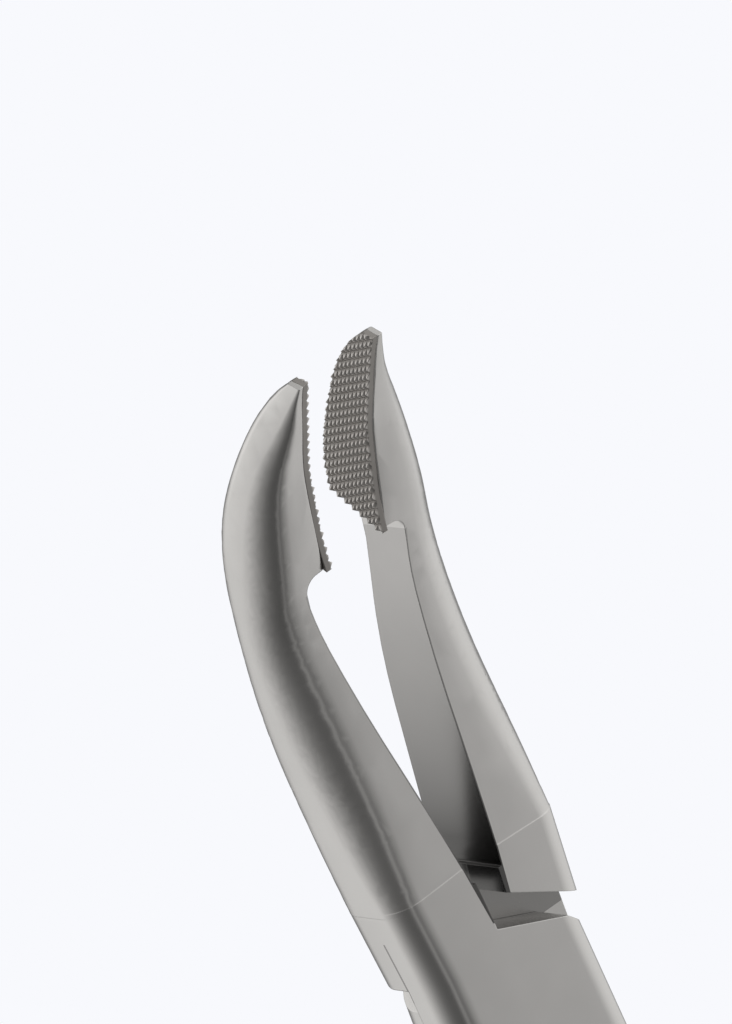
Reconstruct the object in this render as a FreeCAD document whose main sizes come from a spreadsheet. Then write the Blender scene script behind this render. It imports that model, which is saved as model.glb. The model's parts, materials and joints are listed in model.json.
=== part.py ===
import FreeCAD, Part
import math
import os
import Sketcher
from FreeCAD import Placement, Rotation, Vector

# Extraction forceps: two crossing halves in a lap joint, a serrated insert in each beak, one pivot screw.
# +Y runs from the pivot to the beak tips, +Z along the pivot axis, +X to the rear half's beak.
# The origin lies on the joint's underside, below the pivot. Each half is drawn with its beaks parallel,
# and its Placement turns it to the half-open resting position.

DRIVING = {
    # joint
    "joint_half_width": 6.9, "joint_half_thickness": 3.7, "lap_gap": 0.04, "root_length": 17.0,
    "outer_round": 2.2, "plate_top_inner": 11.7, "plate_top_outer": 9.2, "crotch_offset": 0.45,
    "plate_corner": 1.6, "shoulder_inner": 13.6, "shoulder_outer": 10.3, "rest_half_angle": 2.3,
    "root_inner": 0.8, "root_outer": 7.3,
    # pivot screw and its bores
    "screw_radius": 2.2, "screw_head_radius": 2.9, "screw_head_depth": 1.5, "running_clearance": 0.05,
    "screw_slot_width": 0.8, "screw_slot_depth": 0.7, "screw_end_height": 0.9,
    # serrated insert and the relief below it
    "tooth_plane": 0.58, "insert_back": 1.3, "tooth_depth": 0.3, "row_pitch": 0.58, "tooth_pitch": 0.51,
    "row_tilt": 10.0, "insert_inset": 0.06,
    "heel_front_y": 41.5, "heel_front_rise": 4.2, "heel_back_y": 44.8, "heel_back_rise": -0.1,
    "relief_start_x": 0.77, "relief_start_y": 15.5, "relief_top_x": 3.1, "relief_top_y": 39.6, "relief_round": 1.1,
    "relief_step_depth": 1.9, "relief_overlap": 0.4, "heel_cut_length": 15.0, "root_step": 0.15,
    # cutting bodies: how far they run past the metal
    "cutter_width": 60.0, "cutter_overhang": 3.0, "groove_length": 24.0, "grooved_span": 11.0,
    # handles
    "handle_height": 6.8, "handle_width": 7.2, "handle_round": 2.3, "edge_round": 0.12,
}

# Sections of shank and beak, from the joint to the tip:
# name, back edge (y, rise), front edge (y, rise), inner x, outer x, back and front outer rounding
BEAK_SECTIONS = [
    ("root", (16.6, -3.68), (16.6, 3.68), 0.5, 7.28, 2.2, 2.2),
    ("shank_low", (26.0, -3.6), (25.8, 3.0), 1.05, 7.25, 1.7, 3.0),
    ("shank_mid", (34.2, -2.8), (34.0, 2.55), 1.2, 7.1, 1.3, 3.1),
    ("shank_top", (40.4, -1.35), (39.8, 3.2), 1.3, 6.9, 1.1, 2.8),
    ("heel", (45.2, -0.2), (43.8, 4.7), 1.3, 6.4, 1.1, 2.6),
    ("beak_low", (48.6, 1.2), (47.2, 5.9), 1.3, 5.7, 1.0, 2.3),
    ("beak_mid", (52.0, 3.6), (50.1, 7.1), 1.3, 4.7, 0.8, 1.8),
    ("beak_high", (54.7, 5.9), (52.8, 8.7), 1.3, 3.35, 0.6, 1.2),
    ("beak_top", (56.7, 8.5), (55.4, 10.3), 1.3, 2.3, 0.4, 0.5),
    ("tip", (57.55, 10.4), (57.1, 11.5), 1.3, 1.75, 0.15, 0.15),
]

# Middle line of a handle, from the joint to its end: name, y, x, share of full width, share of full height
HANDLE_SECTIONS = [
    ("neck", -16.6, 4.05, 0.897, 1.082),
    ("bow_start", -30.0, 8.0, 0.86, 1.0),
    ("bow", -50.0, 13.2, 1.0, 1.0),
    ("grip", -75.0, 15.0, 1.1, 1.06),
    ("grip_low", -98.0, 12.6, 1.1, 1.06),
    ("handle_end", -114.0, 8.6, 0.9, 0.9),
]

# A low degree keeps a lofted skin from swelling between its sections
LOFT_DEGREE = 2
# Turns a flat outline so that its plane lies crosswise to X
CROSSWISE_TO_X = Rotation(Vector(1, 1, 1), 120)
TOLERANCE = 1e-6

doc = FreeCAD.newDocument("ExtractionForceps")
sheet = doc.addObject("Spreadsheet::Sheet", "Sizes")


def fill_sheet():
    """Write every driving dimension and section size into the sheet under an alias."""
    rows = dict(DRIVING)
    for name, back, front, inner, outer, back_round, front_round in BEAK_SECTIONS:
        depth = math.hypot(front[0] - back[0], front[1] - back[1])
        rows.update({name + "_inner": inner, name + "_outer": outer, name + "_depth": depth,
                     name + "_back_round": back_round, name + "_front_round": front_round})
    for name, along, middle, width, height in HANDLE_SECTIONS:
        rows.update({name + "_middle": middle, name + "_width": width, name + "_height": height})
    for row, (alias, value) in enumerate(rows.items(), start=1):
        sheet.set("A%d" % row, alias)
        sheet.set("B%d" % row, repr(value))
        sheet.setAlias("B%d" % row, alias)
    doc.recompute()


def size(alias):
    return float(sheet.get(alias))


def new_sketch(name, placement):
    sketch = doc.addObject("Sketcher::SketchObject", name)
    sketch.Placement = placement
    return sketch


def bind(sketch, name, kind, args, value, expression):
    """Add a named dimension to a sketch and drive it from the sheet."""
    index = sketch.addConstraint(Sketcher.Constraint(kind, *args, value))
    sketch.renameConstraint(index, name)
    sketch.setExpression("Constraints." + name, expression)


def rounded_section(sketch, left, right, bottom, top, rounds, formulas):
    """A closed four-sided profile with a rounding at each corner, all sizes driven from the sheet.

    rounds and the last four formulas run: bottom left, bottom right, top right, top left."""
    corners = [(left, bottom), (right, bottom), (right, top), (left, top)]
    inward = [(1, 1), (-1, 1), (-1, -1), (1, -1)]
    centres = [Vector(x + i * r, y + j * r, 0) for (x, y), (i, j), r in zip(corners, inward, rounds)]
    starts = [math.pi, 1.5 * math.pi, 0.0, 0.5 * math.pi]
    arcs = []
    for centre, start, radius in zip(centres, starts, rounds):
        circle = Part.Circle(centre, Vector(0, 0, 1), radius)
        arcs.append(sketch.addGeometry(Part.ArcOfCircle(circle, start, start + 0.5 * math.pi), False))
    lines = []
    for index in range(4):
        after = (index + 1) % 4
        begin = sketch.Geometry[arcs[index]].EndPoint
        end = sketch.Geometry[arcs[after]].StartPoint
        lines.append(sketch.addGeometry(Part.LineSegment(begin, end), False))
    for index in range(4):
        after = (index + 1) % 4
        sketch.addConstraint(Sketcher.Constraint("Tangent", arcs[index], 2, lines[index], 1))
        sketch.addConstraint(Sketcher.Constraint("Tangent", lines[index], 2, arcs[after], 1))
        direction = "Horizontal" if index % 2 == 0 else "Vertical"
        sketch.addConstraint(Sketcher.Constraint(direction, lines[index]))
    bind(sketch, "left", "DistanceX", (-1, 1, lines[3], 1), left, formulas[0])
    bind(sketch, "right", "DistanceX", (-1, 1, lines[1], 1), right, formulas[1])
    bind(sketch, "bottom", "DistanceY", (-1, 1, lines[0], 1), bottom, formulas[2])
    bind(sketch, "top", "DistanceY", (-1, 1, lines[2], 1), top, formulas[3])
    for index, (radius, formula) in enumerate(zip(rounds, formulas[4:])):
        bind(sketch, "round_%d" % index, "Radius", (arcs[index],), radius, formula)


def cross_placement(side, along, rise, tilt):
    """Plane of a cross-section at a distance along +Y, leaning towards the joint by tilt degrees."""
    facing = Rotation(Vector(1, 0, 0), 90 + tilt)
    if side < 0:
        facing = facing.multiply(Rotation(Vector(0, 1, 0), 180))
    return Placement(Vector(0, along, rise + size("joint_half_thickness")), facing)


def beak_sections(half, side):
    """Cross-sections of shank and beak, fanned out as the beak bends forward."""
    sections = []
    for name, back, front, inner, outer, back_round, front_round in BEAK_SECTIONS:
        tilt = math.degrees(math.atan2(back[0] - front[0], front[1] - back[1]))
        sketch = new_sketch(half + "_" + name, cross_placement(side, back[0], back[1], tilt))
        alias = "Sizes." + name
        edge_round = size("edge_round")
        rounded_section(sketch, inner, outer, 0.0, size(name + "_depth"),
                        [edge_round, back_round, front_round, edge_round],
                        [alias + "_inner", alias + "_outer", "0", alias + "_depth", "Sizes.edge_round",
                         alias + "_back_round", alias + "_front_round", "Sizes.edge_round"])
        sections.append(sketch)
    return sections


def handle_sections(half, side):
    """Cross-sections of one handle, crosswise to +Y; its first one continues the joint's outline."""
    sections = []
    for name, along, middle, width, height in HANDLE_SECTIONS:
        sketch = new_sketch(half + "_" + name, cross_placement(side, along, 0, 0))
        half_width = 0.5 * size("handle_width") * width
        half_height = 0.5 * size("handle_height") * height
        reach = "Sizes.handle_width * Sizes.%s_width / 2" % name
        rise = "Sizes.handle_height * Sizes.%s_height / 2" % name
        centre = "Sizes.%s_middle" % name
        aliases = ("edge_round", "outer_round", "outer_round", "edge_round")
        if name != "neck":
            aliases = ("handle_round",) * 4
        rounded_section(sketch, middle - half_width, middle + half_width, -half_height, half_height,
                        [size(alias) for alias in aliases],
                        [centre + " - " + reach, centre + " + " + reach, "-" + rise, rise]
                        + ["Sizes." + alias for alias in aliases])
        sections.append(sketch)
    return sections


def loft(name, sections):
    feature = doc.addObject("Part::Loft", name)
    feature.Sections = sections
    feature.Solid = True
    feature.Ruled = False
    feature.MaxDegree = LOFT_DEGREE
    doc.recompute()
    return feature


def polygon(sketch, points):
    """Closed straight-sided outline."""
    for index, start in enumerate(points):
        end = points[(index + 1) % len(points)]
        sketch.addGeometry(Part.LineSegment(Vector(*start, 0), Vector(*end, 0)), False)


def prism(name, sketch, length, symmetric=False):
    """Extrude an outline along its own normal by a length driven from the sheet or a plain number."""
    feature = doc.addObject("Part::Extrusion", name)
    feature.Base = sketch
    feature.DirMode = "Normal"
    feature.Solid = True
    feature.Symmetric = symmetric
    if isinstance(length, str):
        feature.setExpression("LengthFwd", length)
    else:
        feature.LengthFwd = length
    doc.recompute()
    return feature


def level(name, height, outline):
    """Polygon parallel to the joint face at a height above the joint's underside."""
    sketch = new_sketch(name, Placement(Vector(0, 0, height), Rotation()))
    polygon(sketch, outline)
    return sketch


def joined(name, pieces):
    feature = doc.addObject("Part::MultiFuse", name)
    feature.Shapes = pieces
    doc.recompute()
    return feature


def plate_outline(side):
    """Outline of one half's lap plate with the roots of its shank and handle; the same turned half round."""
    half = [
        (-size("joint_half_width"), size("plate_top_outer") - size("plate_corner")),
        (-size("joint_half_width") + size("plate_corner"), size("plate_top_outer")),
        (size("crotch_offset"), size("plate_top_inner")),
        (size("root_inner"), size("root_length")),
        (size("root_outer"), size("root_length")),
        (size("joint_half_width"), size("shoulder_outer")),
    ]
    outline = half + [(-x, -y) for x, y in half]
    return [(side * x, y) for x, y in outline]


def root_outline(side, end):
    """Full-thickness root of the shank (end 1) or of the handle (end -1), down to its shoulder."""
    outline = [
        (size("root_inner"), size("root_length")),
        (size("root_outer"), size("root_length")),
        (size("joint_half_width"), size("shoulder_outer")),
        (size("root_inner") - size("root_step"), size("shoulder_inner")),
    ]
    return [(side * end * x, end * y) for x, y in outline]


def joint_block(half, side):
    """Lap plate over its own half of the thickness, and the full-thickness roots beyond the shoulders."""
    thickness = size("joint_half_thickness")
    lap = 0.5 * size("lap_gap")
    plate_bottom = 0.0 if side > 0 else thickness + lap
    root_bottom = thickness - lap if side > 0 else 0.0
    plate_sketch = level(half + "_plate_outline", plate_bottom, plate_outline(side))
    pieces = [prism(half + "_plate", plate_sketch, "Sizes.joint_half_thickness - Sizes.lap_gap / 2")]
    for end, name in ((1, "_shank_root"), (-1, "_handle_root")):
        root = level(half + name + "_outline", root_bottom, root_outline(side, end))
        pieces.append(prism(half + name, root, "Sizes.joint_half_thickness + Sizes.lap_gap / 2"))
    return round_block(half, joined(half + "_block", pieces))


def round_block(half, block):
    """Round the long outer edges of the joint block so that they run into shank and handle."""
    top = 2 * size("joint_half_thickness")
    edges = []
    for index, edge in enumerate(block.Shape.Edges, start=1):
        box = edge.BoundBox
        at_face = box.ZLength < TOLERANCE and (box.ZMin < TOLERANCE or box.ZMax > top - TOLERANCE)
        at_side = min(abs(box.XMin), abs(box.XMax)) > size("joint_half_width") - TOLERANCE
        if at_face and at_side:
            edges.append((index, size("outer_round"), size("outer_round")))
    feature = doc.addObject("Part::Fillet", half + "_rounded_block")
    feature.Base = block
    feature.Edges = edges
    doc.recompute()
    return feature


def shank_relief(half, side):
    """Metal taken off the shank's inner face, back from the tooth plane, up to the step below the insert."""
    through = size("cutter_width")
    outside = -size("cutter_overhang")
    top_x, top_y = size("relief_top_x"), size("relief_top_y")
    flat = [(outside, size("relief_start_y")), (size("relief_start_x"), size("relief_start_y")),
            (top_x, top_y), (outside, top_y)]
    flat_outline = level(half + "_relief_outline", 0, [(side * x, y) for x, y in flat])
    run = size("heel_back_y") - size("heel_front_y")
    drop = size("heel_front_rise") - size("heel_back_rise")
    span = math.hypot(run, drop)
    step_radius = size("relief_round")
    step_depth = size("relief_step_depth")
    step = new_sketch(half + "_heel_outline", cross_placement(
        side, size("heel_front_y"), size("heel_front_rise"), -math.degrees(math.atan2(drop, run))))
    points = [(top_x - step_radius, 0), (outside, 0), (outside, -step_depth), (top_x, -step_depth),
              (top_x, -step_radius)]
    for start, end in zip(points[:-1], points[1:]):
        step.addGeometry(Part.LineSegment(Vector(*start, 0), Vector(*end, 0)), False)
    circle = Part.Circle(Vector(top_x - step_radius, -step_radius, 0), Vector(0, 0, 1), step_radius)
    step.addGeometry(Part.ArcOfCircle(circle, 0, math.pi / 2), False)
    along = Vector(run / span, -drop / span, 0)
    across = Vector(-drop / span, -run / span, 0)
    corner = Vector(size("heel_front_y"), size("heel_front_rise") + size("joint_half_thickness"), 0)
    upper = corner + across * (step_depth - size("relief_overlap")) - along * size("relief_overlap")
    lower = upper + along * size("heel_cut_length")
    back_outline = new_sketch(half + "_heel_back_outline", Placement(Vector(side * top_x, 0, 0), CROSSWISE_TO_X))
    polygon(back_outline, [(upper.x, upper.y), (lower.x, lower.y), (top_y, lower.y), (top_y, upper.y)])
    return [prism(half + "_relief", flat_outline, through, True),
            prism(half + "_heel_step", step, through, True),
            prism(half + "_heel_back", back_outline, -side * (top_x - outside))]


def bore(name, radius, bottom, depth):
    """Cylinder about the pivot axis; radius, bottom and depth are formulas on the sheet."""
    feature = doc.addObject("Part::Cylinder", name)
    feature.setExpression("Radius", radius)
    feature.setExpression("Height", depth)
    feature.setExpression("Placement.Base.z", bottom)
    doc.recompute()
    return feature


def pivot_bores(half, side):
    thickness = "Sizes.joint_half_thickness"
    if side > 0:
        return [bore(half + "_thread", "Sizes.screw_radius", "Sizes.screw_end_height", thickness)]
    clearance = "Sizes.running_clearance"
    depth = "Sizes.screw_head_depth + " + clearance
    return [bore(half + "_pivot_bore", "Sizes.screw_radius + " + clearance, "0", "2 * " + thickness),
            bore(half + "_head_bore", "Sizes.screw_head_radius + " + clearance,
                 "2 * %s - (%s)" % (thickness, depth), depth)]


def build_half(name, side):
    """One half of the forceps: beak, shank, lap plate and handle; side is 1 for the beak at +X."""
    solid = joined(name + "_forging", [
        joint_block(name, side),
        loft(name + "_beak", beak_sections(name, side)),
        loft(name + "_handle", handle_sections(name, -side)),
    ])
    cutters = joined(name + "_cutters", shank_relief(name, side) + pivot_bores(name, side))
    feature = doc.addObject("Part::Cut", name)
    feature.Label = name
    feature.Base = solid
    feature.Tool = cutters
    doc.recompute()
    if feature.Shape.Volume >= solid.Shape.Volume:
        raise RuntimeError(name + ": nothing was cut away")
    return feature


def insert_outline(side, plane_x):
    """Face of the insert in the plane x = plane_x: the beak's own outline above the heel."""
    thickness = size("joint_half_thickness")
    inset = size("insert_inset")
    front = [Vector(side * plane_x, f[0], f[1] + thickness - inset) for _, _, f, *_ in BEAK_SECTIONS[4:]]
    back = [Vector(side * plane_x, b[0], b[1] + thickness + inset) for _, b, *_ in BEAK_SECTIONS[4:]]
    heel_front = Vector(side * plane_x, size("heel_front_y"), size("heel_front_rise") + thickness - inset)
    heel_back = Vector(side * plane_x, size("heel_back_y"), size("heel_back_rise") + thickness + inset)
    front_edge = Part.BSplineCurve()
    front_edge.interpolate([heel_front] + front)
    back_edge = Part.BSplineCurve()
    back_edge.interpolate([heel_back] + back[1:])
    return Part.Wire([front_edge.toShape(), Part.makeLine(front[-1], back[-1]), back_edge.toShape(),
                      Part.makeLine(heel_back, heel_front)])


def groove(start, direction, length, side, pitch):
    """V-shaped bar that cuts one groove into the tooth face."""
    depth = size("tooth_depth")
    across = direction.cross(Vector(1, 0, 0)).normalize() * (0.5 * pitch)
    up = Vector(-side * depth, 0, 0)
    profile = Part.makePolygon([start, start + across + up, start - across + up, start])
    return Part.Face(profile).extrude(direction * length)


def build_insert(name, side):
    """Serrated plate on a beak: square pyramids left standing between two sets of V grooves."""
    plane_x = size("tooth_plane")
    thickness = size("insert_back") - plane_x
    plate = Part.Face(insert_outline(side, plane_x)).extrude(Vector(side * thickness, 0, 0))
    tilt = math.radians(size("row_tilt"))
    along_row = Vector(0, -math.sin(-tilt), math.cos(-tilt))
    along_column = Vector(0, math.cos(-tilt), math.sin(-tilt))
    middle = plate.BoundBox.Center
    middle.x = side * (plane_x + size("tooth_depth"))
    length = size("groove_length")
    bars = []
    for direction, other, pitch in ((along_row, along_column, size("row_pitch")),
                                    (along_column, along_row, size("tooth_pitch"))):
        count = int(size("grooved_span") / pitch)
        for number in range(-count, count + 1):
            start = middle + other * (number * pitch) - direction * (0.5 * length)
            bars.append(groove(start, direction, length, side, pitch))
    feature = doc.addObject("Part::Feature", name)
    feature.Label = name
    feature.Shape = plate.cut(bars)
    return feature


def build_screw():
    """Pivot screw: slotted head flush with the front plate, shank held in the rear plate."""
    thickness = size("joint_half_thickness")
    head_bottom = 2 * thickness - size("screw_head_depth")
    shank_bottom = size("screw_end_height")
    shank = Part.makeCylinder(size("screw_radius"), head_bottom - shank_bottom, Vector(0, 0, shank_bottom))
    head = Part.makeCylinder(size("screw_head_radius"), size("screw_head_depth"), Vector(0, 0, head_bottom))
    slot = Part.makeBox(4 * size("screw_head_radius"), size("screw_slot_width"), size("screw_slot_depth"))
    slot.translate(Vector(-2 * size("screw_head_radius"), -0.5 * size("screw_slot_width"),
                          2 * thickness - size("screw_slot_depth")))
    feature = doc.addObject("Part::Feature", "pivot_screw")
    feature.Label = "pivot_screw"
    feature.Shape = shank.fuse(head).removeSplitter().cut(slot)
    return feature


def turned(angle):
    return Placement(Vector(0, 0, 0), Rotation(Vector(0, 0, 1), angle))


fill_sheet()
angle = size("rest_half_angle")
parts = []
for label, side in (("rear", 1), ("front", -1)):
    for piece in (build_half(label + "_half", side), build_insert(label + "_insert", side)):
        piece.Placement = turned(-side * angle)
        parts.append(piece)
parts.append(build_screw())
doc.recompute()
for item in doc.Objects:
    if "Invalid" in item.State or "Error" in item.State:
        raise RuntimeError(item.Label + " failed to recompute")
os.makedirs("parts", exist_ok=True)
for piece in parts:
    if piece.Shape.isNull() or not piece.Shape.isValid() or len(piece.Shape.Solids) != 1:
        raise RuntimeError(piece.Label + " is not one valid solid")
    piece.Shape.exportStep("parts/%s.step" % piece.Label)
    print(piece.Label, round(piece.Shape.Volume, 1), piece.Shape.BoundBox)
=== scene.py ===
import json
import math

import bmesh
import bpy
from mathutils import Matrix, Vector


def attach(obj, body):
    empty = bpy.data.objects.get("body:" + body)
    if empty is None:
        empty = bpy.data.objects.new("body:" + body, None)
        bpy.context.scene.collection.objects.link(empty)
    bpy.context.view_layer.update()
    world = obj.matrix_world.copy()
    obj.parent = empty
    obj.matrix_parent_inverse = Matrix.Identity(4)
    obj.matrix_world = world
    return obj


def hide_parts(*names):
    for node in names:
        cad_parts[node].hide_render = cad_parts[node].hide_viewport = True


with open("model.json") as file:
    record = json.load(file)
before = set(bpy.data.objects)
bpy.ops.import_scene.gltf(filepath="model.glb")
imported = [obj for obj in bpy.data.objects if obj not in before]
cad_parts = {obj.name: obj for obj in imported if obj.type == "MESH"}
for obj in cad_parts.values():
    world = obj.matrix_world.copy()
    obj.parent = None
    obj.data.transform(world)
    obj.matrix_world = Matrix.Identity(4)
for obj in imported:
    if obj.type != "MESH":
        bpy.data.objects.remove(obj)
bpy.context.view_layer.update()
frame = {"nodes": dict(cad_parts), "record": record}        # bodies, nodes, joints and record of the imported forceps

bl_info = {
    "name": "Extraction forceps finish",
    "version": (1, 0, 0),
    "blender": (4, 5, 0),
    "location": "View3D > Sidebar > Forceps",
    "description": "Satin steel finish, studio and camera for the extraction forceps",
    "category": "Object",
}

MILLIMETRE = 0.001
# Sine of each half's turn at rest, which spreads the halves from the pivot to the tips
SPREAD = 0.0401
# Small step where shank and handle run out of the joint, which polishing takes away
ROOT_END = 17.0 * MILLIMETRE
LEDGE_REACH = 0.6 * MILLIMETRE
LEDGE_DEPTH = 0.035 * MILLIMETRE
MERGE_DISTANCE = 0.0005 * MILLIMETRE
# Painted shade in the gap between the shanks: its lower and upper end, where the painted shade is deepest and the
# height it fades over
GAP_BOTTOM, GAP_TOP = 12.2 * MILLIMETRE, 40.5 * MILLIMETRE
GAP_DEEPEST, GAP_HEIGHT = 16.0 * MILLIMETRE, 25.0 * MILLIMETRE
GAP_LEAST, GAP_MOST = 0.05, 0.8
# Inner faces of the shanks, which carry the painted shade: how they lean out along the length
INNER_SLOPE, INNER_OFFSET = 0.1365, 0.6 * MILLIMETRE
# Lap face beside the shoulders, which carries painted shade: middle and half length of the shaded part, its height
# and how much the painted shade darkens it
LAP_MIDDLE, LAP_REACH = 11.5 * MILLIMETRE, 2.5 * MILLIMETRE
LAP_HEIGHT, LAP_BAND, LAP_PAINTED_SHADE = 3.7 * MILLIMETRE, 0.1 * MILLIMETRE, 0.5
TOOTH_PLANE, TOOTH_DEPTH = 0.58 * MILLIMETRE, 0.3 * MILLIMETRE
# Cloudiness of the steel: scale of the broad and the small clouds, and their hold on roughness and colour
BROAD_SCALE, CLOUD_SCALE = 90.0, 420.0
BROAD_ROUGHNESS, FINE_ROUGHNESS = 0.08, 0.16
CLOUD_TINT, FINE_TINT = 0.6, 0.4
# Sockets of a Mix node in colour mode
COLOUR_A, COLOUR_B, COLOUR_RESULT = 6, 7, 2
BODY_OF_NODE = {node: body for body, nodes in frame["record"]["behaviour"]["bodies"].items() for node in nodes}


class ForcepsSizes(bpy.types.PropertyGroup):
    grain_size: bpy.props.FloatProperty(
        name="Grain size", description="Size of the satin finish's grain",
        default=0.07 * MILLIMETRE, unit="LENGTH", precision=6)
    grain_height: bpy.props.FloatProperty(
        name="Grain height", description="Depth of the satin finish's grain",
        default=0.0015 * MILLIMETRE, unit="LENGTH", precision=7)
    edge_radius: bpy.props.FloatProperty(
        name="Edge radius", description="Rounding left by hand polishing along the edges",
        default=0.1 * MILLIMETRE, unit="LENGTH", precision=5)
    crease_angle: bpy.props.FloatProperty(
        name="Crease angle", description="Faces that meet at more than this stay a crisp edge",
        default=math.radians(24), subtype="ANGLE")
    joint_length: bpy.props.FloatProperty(
        name="Joint length", description="From the pivot to where the shanks' crowned faces begin",
        default=16 * MILLIMETRE, unit="LENGTH", precision=5)
    crown_start: bpy.props.FloatProperty(
        name="Crown start", description="From the half's middle plane to where its crown begins",
        default=3.0 * MILLIMETRE, unit="LENGTH", precision=5)
    crown_fade: bpy.props.FloatProperty(
        name="Crown fade", description="Length over which the crown builds up",
        default=8 * MILLIMETRE, unit="LENGTH", precision=5)
    crown_bend: bpy.props.FloatProperty(
        name="Crown bend", description="How strongly the wide faces are crowned, per metre", default=20.0)
    camera_distance: bpy.props.FloatProperty(
        name="Camera distance", description="From the camera to the middle of the view",
        default=2.0, unit="LENGTH")
    view_height: bpy.props.FloatProperty(
        name="View height", description="Height of the view at the object",
        default=71.3 * MILLIMETRE, unit="LENGTH", precision=5)


class ForcepsColours(bpy.types.PropertyGroup):
    forged: bpy.props.FloatVectorProperty(
        name="Forged steel", description="Reflective colour of the two halves",
        default=(0.66, 0.645, 0.625), subtype="COLOR", size=3)
    insert: bpy.props.FloatVectorProperty(
        name="Insert steel", description="Reflective colour of the serrated inserts",
        default=(0.36, 0.34, 0.32), subtype="COLOR", size=3)
    # Painted highlight: this bright colour is mixed in at the tooth points, with painted shade towards the grooves
    tooth: bpy.props.FloatVectorProperty(
        name="Tooth points", description="Reflective colour of the points of the teeth",
        default=(0.95, 0.91, 0.87), subtype="COLOR", size=3)
    screw: bpy.props.FloatVectorProperty(
        name="Screw steel", description="Reflective colour of the pivot screw",
        default=(0.68, 0.67, 0.65), subtype="COLOR", size=3)
    backdrop: bpy.props.FloatVectorProperty(
        name="Backdrop", description="Plain backdrop behind the object",
        default=(0.939, 0.947, 0.982), subtype="COLOR", size=3)


class Value:
    """A socket that can be used in a Python expression; each operator adds one Math node."""

    def __init__(self, tree, socket):
        self.tree, self.socket = tree, socket

    def math(self, operation, other=None, swap=False):
        node = self.tree.nodes.new("ShaderNodeMath")
        node.operation = operation
        operands = [self] if other is None else [other, self] if swap else [self, other]
        for slot, operand in zip(node.inputs, operands):
            if isinstance(operand, Value):
                self.tree.links.new(operand.socket, slot)
            else:
                slot.default_value = operand
        return Value(self.tree, node.outputs[0])

    def __add__(self, other):
        return self.math("ADD", other)

    __radd__ = __add__

    def __sub__(self, other):
        return self.math("SUBTRACT", other)

    def __rsub__(self, other):
        return self.math("SUBTRACT", other, swap=True)

    def __mul__(self, other):
        return self.math("MULTIPLY", other)

    def __truediv__(self, other):
        return self.math("DIVIDE", other)

    def __pow__(self, other):
        return self.math("POWER", other)

    def clamped(self, low, high):
        return self.math("MINIMUM", high).math("MAXIMUM", low)


class Shader:
    """One node tree with a single way of adding nodes."""

    def __init__(self, tree):
        self.tree = tree
        tree.nodes.clear()

    def node(self, kind, settings=None, **sockets):
        """Add a node: its settings first, then the values or links of its sockets by name."""
        node = self.tree.nodes.new(kind)
        for key, value in (settings or {}).items():
            setattr(node, key, value)
        for key, value in sockets.items():
            socket = node.inputs[key.replace("_", " ")]
            if isinstance(value, Value):
                self.tree.links.new(value.socket, socket)
            else:
                socket.default_value = value
        return node

    def out(self, node, name):
        return Value(self.tree, node.outputs[name])

    def colour_mix(self, first, second, factor=1.0, blend="MIX"):
        """Mix two colours, each given as a plain colour or as a Value."""
        node = self.node("ShaderNodeMix", {"data_type": "RGBA", "blend_type": blend}, Factor=factor)
        for index, colour in ((COLOUR_A, first), (COLOUR_B, second)):
            if isinstance(colour, Value):
                self.tree.links.new(colour.socket, node.inputs[index])
            else:
                node.inputs[index].default_value = (*colour, 1)
        return Value(self.tree, node.outputs[COLOUR_RESULT])

    def ramp(self, factor, stops):
        """Colour ramp through (position, grey level) stops."""
        node = self.tree.nodes.new("ShaderNodeValToRGB")
        elements = node.color_ramp.elements
        while len(elements) < len(stops):
            elements.new(0.5)
        for element, (position, level) in zip(elements, stops):
            element.position = position
            element.color = (level, level, level, 1)
        self.tree.links.new(factor.socket, node.inputs["Fac"])
        return Value(self.tree, node.outputs["Color"])


def new_material(name):
    material = bpy.data.materials.new(name)
    material.use_nodes = True
    return material, Shader(material.node_tree)


def position(shader, place):
    """Distance from the middle plane, distance along the length, and height."""
    split = shader.node("ShaderNodeSeparateXYZ", Vector=place)
    return shader.out(split, "X").math("ABSOLUTE"), shader.out(split, "Y"), shader.out(split, "Z")


def crown(shader, place):
    """Height of the hand-ground crown on the shanks' and beaks' wide faces; the joint stays flat."""
    sizes = bpy.context.scene.forceps_sizes
    across, along, _ = position(shader, place)
    fade = ((along - sizes.joint_length) / sizes.crown_fade).clamped(0.0, 1.0)
    past = (across - (along * SPREAD + sizes.crown_start)).math("MAXIMUM", 0.0)
    return fade * past ** 2.0 * -sizes.crown_bend


def gap_shade(shader, place):
    """Painted shade: 1 on open metal, lower in the gap between the shanks and on the lap face beside the shoulders,
    where shade falls.
    """
    across, along, height = position(shader, place)
    rise = ((along - GAP_DEEPEST) / GAP_HEIGHT).clamped(GAP_LEAST, 1.0)
    inner = across.math("LESS_THAN", along * INNER_SLOPE - INNER_OFFSET)
    above = along.math("GREATER_THAN", GAP_BOTTOM)
    below = along.math("LESS_THAN", GAP_TOP)
    gap = inner * above * below * (1.0 - rise ** 0.5 * GAP_MOST)
    # Painted shade on the lap face beside the shoulders
    beside = (along.math("ABSOLUTE") - LAP_MIDDLE).math("ABSOLUTE").math("LESS_THAN", LAP_REACH)
    lap = (height - LAP_HEIGHT).math("ABSOLUTE").math("LESS_THAN", LAP_BAND)
    return (1.0 - gap) * (1.0 - beside * lap * LAP_PAINTED_SHADE)


def tooth_highlight_and_shade(shader, place):
    """Painted highlight and shade: 1 at the points of the teeth, falling towards the grooves and the insert's back
    edge.
    """
    across, along, _ = position(shader, place)
    depth = across - along * SPREAD - TOOTH_PLANE
    return (1.0 - depth / TOOTH_DEPTH).clamped(0.0, 1.0)


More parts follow.
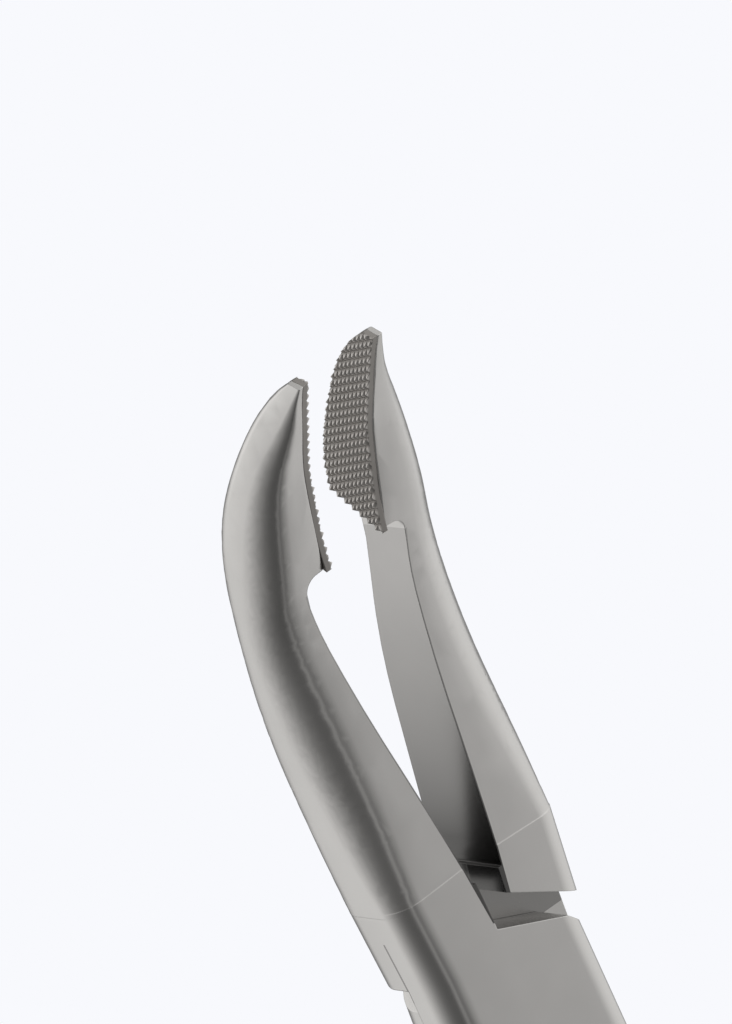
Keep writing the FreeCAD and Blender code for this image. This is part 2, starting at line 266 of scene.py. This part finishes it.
def steel(name, colour, roughness, grain, stain, kind=""):
    """Satin stainless steel with a fine grain, faint cloudiness and slightly rounded edges.

    kind "forged" adds the crowned faces and the painted shade in the gap and on the lap face, kind "toothed" the
    painted highlight on the tooth points and painted shade in the grooves."""
    sizes = bpy.context.scene.forceps_sizes
    material, shader = new_material(name)
    place = shader.out(shader.node("ShaderNodeTexCoord"), "Object")

    def noise(scale, detail):
        return shader.out(shader.node("ShaderNodeTexNoise", Vector=place, Scale=scale, Detail=detail), "Fac")

    fine, broad, clouds = noise(1 / sizes.grain_size, 2.0), noise(BROAD_SCALE, 3.0), noise(CLOUD_SCALE, 4.0)
    rough = roughness + (broad - 0.5) * BROAD_ROUGHNESS + (fine - 0.5) * FINE_ROUGHNESS
    stained = [channel * (1.0 - stain) for channel in colour]
    base = shader.colour_mix(stained, colour, clouds * CLOUD_TINT + fine * FINE_TINT)
    normal = shader.out(shader.node("ShaderNodeBevel", {"samples": 6}, Radius=sizes.edge_radius), "Normal")
    if kind == "forged":
        normal = shader.out(shader.node("ShaderNodeBump", Height=crown(shader, place), Strength=1.0,
                                        Distance=1.0, Normal=normal), "Normal")
        # Painted shade: the base colour is multiplied darker in the gap between the shanks and on the lap face
        base = shader.colour_mix(base, gap_shade(shader, place), blend="MULTIPLY")
    if kind == "toothed":
        # Painted highlight at the tooth points and painted shade towards the grooves and the back edge
        base = shader.colour_mix(base, bpy.context.scene.forceps_colours.tooth, tooth_highlight_and_shade(shader, place))
    bump = shader.out(shader.node("ShaderNodeBump", Height=fine, Strength=grain,
                                  Distance=sizes.grain_height, Normal=normal), "Normal")
    surface = shader.node("ShaderNodeBsdfPrincipled", Base_Color=base,
                          Metallic=1.0, Roughness=rough, Normal=bump)
    shader.node("ShaderNodeOutputMaterial", Surface=shader.out(surface, "BSDF"))
    return material


def smooth_copy(node, name):
    """Copy of a CAD node with its loose triangles joined and shaded smooth up to the crease angle."""
    crease = bpy.context.scene.forceps_sizes.crease_angle
    sheet = bmesh.new()
    sheet.from_mesh(frame["nodes"][node].data)
    bmesh.ops.remove_doubles(sheet, verts=sheet.verts, dist=MERGE_DISTANCE)
    ledge = [vert for vert in sheet.verts if abs(abs(vert.co.y) - ROOT_END) < LEDGE_REACH]
    bmesh.ops.remove_doubles(sheet, verts=ledge, dist=LEDGE_DEPTH)
    for face in sheet.faces:
        face.smooth = True
    for edge in sheet.edges:
        edge.smooth = edge.is_manifold and edge.calc_face_angle(math.pi) < crease
    mesh = bpy.data.meshes.new(name)
    sheet.to_mesh(mesh)
    sheet.free()
    piece = bpy.data.objects.new(name, mesh)
    bpy.context.scene.collection.objects.link(piece)
    return piece


def finish_piece(node, name, material):
    piece = smooth_copy(node, name)
    piece.data.materials.append(material)
    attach(piece, BODY_OF_NODE[node])
    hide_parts(node)
    return piece


class FORCEPS_OT_halves(bpy.types.Operator):
    """Give the two forged halves their satin finish"""
    bl_idname = "forceps.halves"
    bl_label = "Forged halves"

    def execute(self, context):
        colour = context.scene.forceps_colours.forged
        material = steel("satin_forged_steel", colour, roughness=0.22, grain=0.3, stain=0.1, kind="forged")
        for side in ("rear", "front"):
            finish_piece(side + "_half", side + "_half_satin", material)
        return {"FINISHED"}


class FORCEPS_OT_inserts(bpy.types.Operator):
    """Give the serrated inserts their duller finish"""
    bl_idname = "forceps.inserts"
    bl_label = "Serrated inserts"

    def execute(self, context):
        colour = context.scene.forceps_colours.insert
        material = steel("insert_steel", colour, roughness=0.42, grain=0.5, stain=0.25, kind="toothed")
        for side in ("rear", "front"):
            finish_piece(side + "_insert", side + "_insert_teeth", material)
        return {"FINISHED"}


class FORCEPS_OT_screw(bpy.types.Operator):
    """Give the pivot screw its turned finish"""
    bl_idname = "forceps.screw"
    bl_label = "Pivot screw"

    def execute(self, context):
        colour = context.scene.forceps_colours.screw
        material = steel("turned_steel", colour, roughness=0.2, grain=0.2, stain=0.06)
        finish_piece("pivot_screw", "pivot_screw_turned", material)
        return {"FINISHED"}


# Brightness of the surroundings against the angle round the forceps' length, from straight up (0)
# towards the front half's side (positive degrees); long softboxes with dark gaps between them.
SURROUNDINGS = [
    (-180, 0.3), (-150, 0.12), (-130, 0.3), (-110, 0.85), (-80, 0.88), (-60, 0.8), (-45, 0.66),
    (-32, 0.5), (-18, 0.4), (-6, 0.3), (4, 0.18), (9, 0.15), (14, 0.36), (19, 0.36), (25, 0.13),
    (38, 0.12), (54, 0.14), (70, 0.19), (90, 0.34), (112, 0.58), (132, 0.78), (148, 0.88), (165, 0.65),
    (180, 0.3),
]
# Share of that brightness against the direction along the length, from the handles (-1) to the beaks (1)
LENGTHWISE = [(-1.0, 0.58), (-0.7, 0.62), (-0.45, 0.77), (-0.25, 0.77), (0.1, 1.0), (1.0, 1.0)]
FULL_STRENGTH = 1.3


class FORCEPS_OT_stage(bpy.types.Operator):
    """Soft studio surroundings, pale backdrop and the camera"""
    bl_idname = "forceps.stage"
    bl_label = "Stage"

    def execute(self, context):
        self.make_surroundings(context)
        self.make_camera(context)
        context.scene.view_settings.view_transform = "Standard"
        return {"FINISHED"}

    def make_surroundings(self, context):
        world = bpy.data.worlds.new("studio")
        world.use_nodes = True
        context.scene.world = world
        shader = Shader(world.node_tree)
        place = shader.out(shader.node("ShaderNodeTexCoord"), "Generated")
        split = shader.node("ShaderNodeSeparateXYZ", Vector=place)
        turn = (shader.out(split, "X") * -1.0).math("ARCTAN2", shader.out(split, "Z"))
        around = shader.ramp(turn / (2 * math.pi) + 0.5,
                             [(angle / 360 + 0.5, level) for angle, level in SURROUNDINGS])
        along = shader.ramp(shader.out(split, "Y") * 0.5 + 0.5,
                            [(0.5 * y + 0.5, level) for y, level in LENGTHWISE])
        light = shader.node("ShaderNodeBackground", Color=around, Strength=along * FULL_STRENGTH)
        backdrop = shader.node("ShaderNodeBackground", Strength=1.0,
                               Color=(*context.scene.forceps_colours.backdrop, 1))
        seen = shader.out(shader.node("ShaderNodeLightPath"), "Is Camera Ray")
        both = shader.node("ShaderNodeMixShader", Fac=seen)
        shader.tree.links.new(light.outputs["Background"], both.inputs[1])
        shader.tree.links.new(backdrop.outputs["Background"], both.inputs[2])
        shader.node("ShaderNodeOutputWorld", Surface=shader.out(both, "Shader"))

    def make_camera(self, context):
        sizes = context.scene.forceps_sizes
        to_camera = Vector((-0.503, 0.345, 0.793)).normalized()
        right = Vector((0.710, -0.358, 0.606))
        right = (right - right.dot(to_camera) * to_camera).normalized()
        up = to_camera.cross(right)
        aim = Vector((10.6, 37.5, -5.9)) * MILLIMETRE
        camera_data = bpy.data.cameras.new("camera")
        camera = bpy.data.objects.new("camera", camera_data)
        context.scene.collection.objects.link(camera)
        turn = Matrix((right, up, to_camera)).transposed().to_4x4()
        camera.matrix_world = Matrix.Translation(aim + sizes.camera_distance * to_camera) @ turn
        camera_data.sensor_width = 36.0
        camera_data.lens = camera_data.sensor_width * sizes.camera_distance / sizes.view_height
        camera_data.clip_start = 0.01
        context.scene.camera = camera


class FORCEPS_PT_panel(bpy.types.Panel):
    """Sizes, colours and steps of the forceps"""
    bl_idname = "FORCEPS_PT_panel"
    bl_label = "Extraction forceps"
    bl_space_type = "VIEW_3D"
    bl_region_type = "UI"
    bl_category = "Forceps"

    def draw(self, context):
        for group in (context.scene.forceps_sizes, context.scene.forceps_colours):
            for name in group.__annotations__:
                self.layout.prop(group, name)
        for step in STEPS:
            self.layout.operator(step.bl_idname)


STEPS = (FORCEPS_OT_halves, FORCEPS_OT_inserts, FORCEPS_OT_screw, FORCEPS_OT_stage)
CLASSES = (ForcepsSizes, ForcepsColours) + STEPS + (FORCEPS_PT_panel,)


def register():
    for item in CLASSES:
        bpy.utils.register_class(item)
    bpy.types.Scene.forceps_sizes = bpy.props.PointerProperty(type=ForcepsSizes)
    bpy.types.Scene.forceps_colours = bpy.props.PointerProperty(type=ForcepsColours)


def unregister():
    del bpy.types.Scene.forceps_colours
    del bpy.types.Scene.forceps_sizes
    for item in reversed(CLASSES):
        bpy.utils.unregister_class(item)


def main():
    register()
    for operator in (bpy.ops.forceps.halves, bpy.ops.forceps.inserts, bpy.ops.forceps.screw,
                     bpy.ops.forceps.stage):
        operator()


if __name__ == "__main__":
    main()
